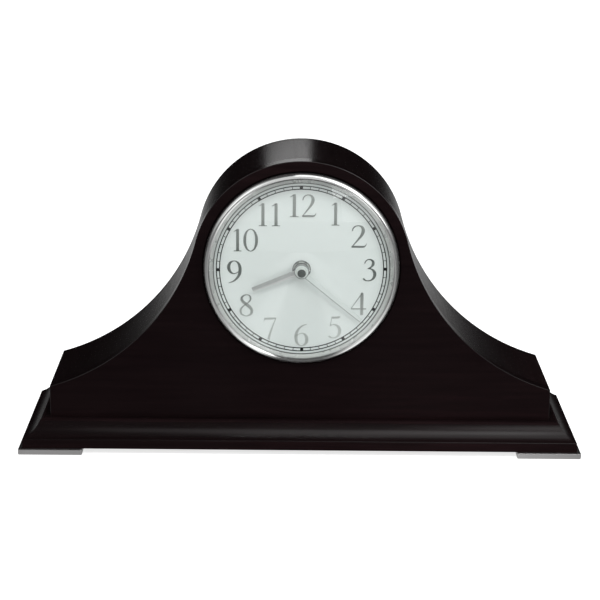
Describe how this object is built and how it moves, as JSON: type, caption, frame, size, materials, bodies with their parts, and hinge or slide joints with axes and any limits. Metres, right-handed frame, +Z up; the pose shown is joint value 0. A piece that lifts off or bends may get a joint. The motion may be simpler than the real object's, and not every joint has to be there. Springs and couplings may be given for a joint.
{
  "type": "mantel clock",
  "caption": "Hump-backed wooden mantel clock on a moulded plinth with metal feet, a round dial under domed glass, a battery chime movement and a hinged back door.",
  "frame": {"origin": "on the table under the middle of the clock's outer box", "axes": "+X to the right as seen from the front, +Y to the back, +Z up"},
  "size_m": [0.45, 0.1264, 0.236],
  "materials": {
    "case_wood": "satin lacquer, very dark brown",
    "inner_wood": "raw softwood",
    "foot_metal": "satin",
    "pad": "matte",
    "screw_steel": "zinc plated",
    "bezel_metal": "polished",
    "crystal": "clear",
    "retainer_metal": "satin",
    "dial_white": "satin, pale silver white",
    "pan_metal": "plain",
    "hand_metal": "polished",
    "brass": "machined",
    "housing_plastic": "moulded",
    "train_plastic": "moulded",
    "wheel_plastic": "moulded",
    "coil_copper": "enamelled wire",
    "board_green": "resin board",
    "cell_jacket": "plain wrapped steel",
    "knob_plastic": "moulded",
    "slider_plastic": "moulded",
    "button_plastic": "moulded",
    "knob_brass": "turned",
    "hinge_brass": "pressed",
    "speaker_steel": "black zinc",
    "cone_paper": "pressed paper",
    "magnet": "sintered",
    "lead_sheath": "smooth"
  },
  "bodies": {
    "case": {"plinth": "case_wood", "front_panel": "case_wood", "top_wrap": "case_wood", "back_panel": "case_wood", "glue_blocks": "inner_wood", "case_screws": "screw_steel", "front_left_foot": "foot_metal", "front_right_foot": "foot_metal", "rear_left_foot": "foot_metal", "rear_right_foot": "foot_metal", "foot_pads": "pad", "foot_screws": "screw_steel", "bezel_ring": "bezel_metal", "bezel_screws": "screw_steel", "crystal_glass": "crystal", "glass_retainer": "retainer_metal", "dial_plate": "dial_white", "dial_pan": "pan_metal", "movement_seal": "pad", "bush_washer": "brass", "bush_nut": "brass", "movement_housing": "housing_plastic", "movement_cover": "housing_plastic", "cover_screws": "screw_steel", "train_box": "train_plastic", "circuit_board": "board_green", "motor_coil": "coil_copper", "motor_core": "screw_steel", "left_cell": "cell_jacket", "right_cell": "cell_jacket", "contact_plates": "screw_steel", "contact_springs": "screw_steel", "hinge_case_leaves": "hinge_brass", "hinge_pins": "hinge_brass", "magnet_catch": "housing_plastic", "speaker_frame": "speaker_steel", "speaker_cone": "cone_paper", "speaker_magnet": "magnet", "speaker_screws": "screw_steel", "speaker_lead": "lead_sheath", "cable_clips": "housing_plastic"},
    "minute": {"minute_hand": "hand_metal", "hand_cap": "hand_metal", "centre_arbor": "brass"},
    "hour": {"hour_hand": "hand_metal", "hour_wheel": "wheel_plastic"},
    "motion": {"motion_wheel": "wheel_plastic", "set_knob": "knob_plastic"},
    "back_door": {"door_panel": "case_wood", "door_knob": "knob_brass", "hinge_door_leaves": "hinge_brass", "strike_plate": "screw_steel"},
    "volume_control": {"volume_knob": "knob_plastic"},
    "melody_slider": {"melody_switch": "slider_plastic"},
    "night_slider": {"night_switch": "slider_plastic"},
    "demo_plunger": {"demo_button": "button_plastic"}
  },
  "joints": [
    {"name": "minute_hand_spin", "type": "hinge", "parent": "case", "child": "minute", "pos_m": [0, -0.03948, 0.1496], "axis": [0, 1, 0], "continuous": true},
    {"name": "hour_hand_spin", "type": "hinge", "parent": "case", "child": "hour", "pos_m": [0, -0.03948, 0.1496], "axis": [0, 1, 0], "continuous": true},
    {"name": "motion_wheel_spin", "type": "hinge", "parent": "case", "child": "motion", "pos_m": [0, -0.03948, 0.1376], "axis": [0, 1, 0], "continuous": true},
    {"name": "back_door_hinge", "type": "hinge", "parent": "case", "child": "back_door", "pos_m": [-0.0585, 0.05833, 0.1456], "axis": [0, 0, 1], "range_deg": [0, 110]},
    {"name": "volume_knob_turn", "type": "hinge", "parent": "case", "child": "volume_control", "pos_m": [-0.00968, -0.00447, 0.16178], "axis": [0, 1, 0], "range_deg": [-135, 135]},
    {"name": "melody_switch_slide", "type": "slide", "parent": "case", "child": "melody_slider", "axis": [1, 0, 0], "range_m": [-0.004, 0.004]},
    {"name": "night_switch_slide", "type": "slide", "parent": "case", "child": "night_slider", "axis": [1, 0, 0], "range_m": [0, 0.005]},
    {"name": "demo_button_push", "type": "slide", "parent": "case", "child": "demo_plunger", "axis": [0, -1, 0], "range_m": [0, 0.0015], "stiffness_N_per_m": 300, "springref_m": -0.001}
  ],
  "couplings": [
    {"joint": "motion_wheel_spin", "follows": "minute_hand_spin", "ratio": -0.33333},
    {"joint": "hour_hand_spin", "follows": "minute_hand_spin", "ratio": 0.083333}
  ]
}
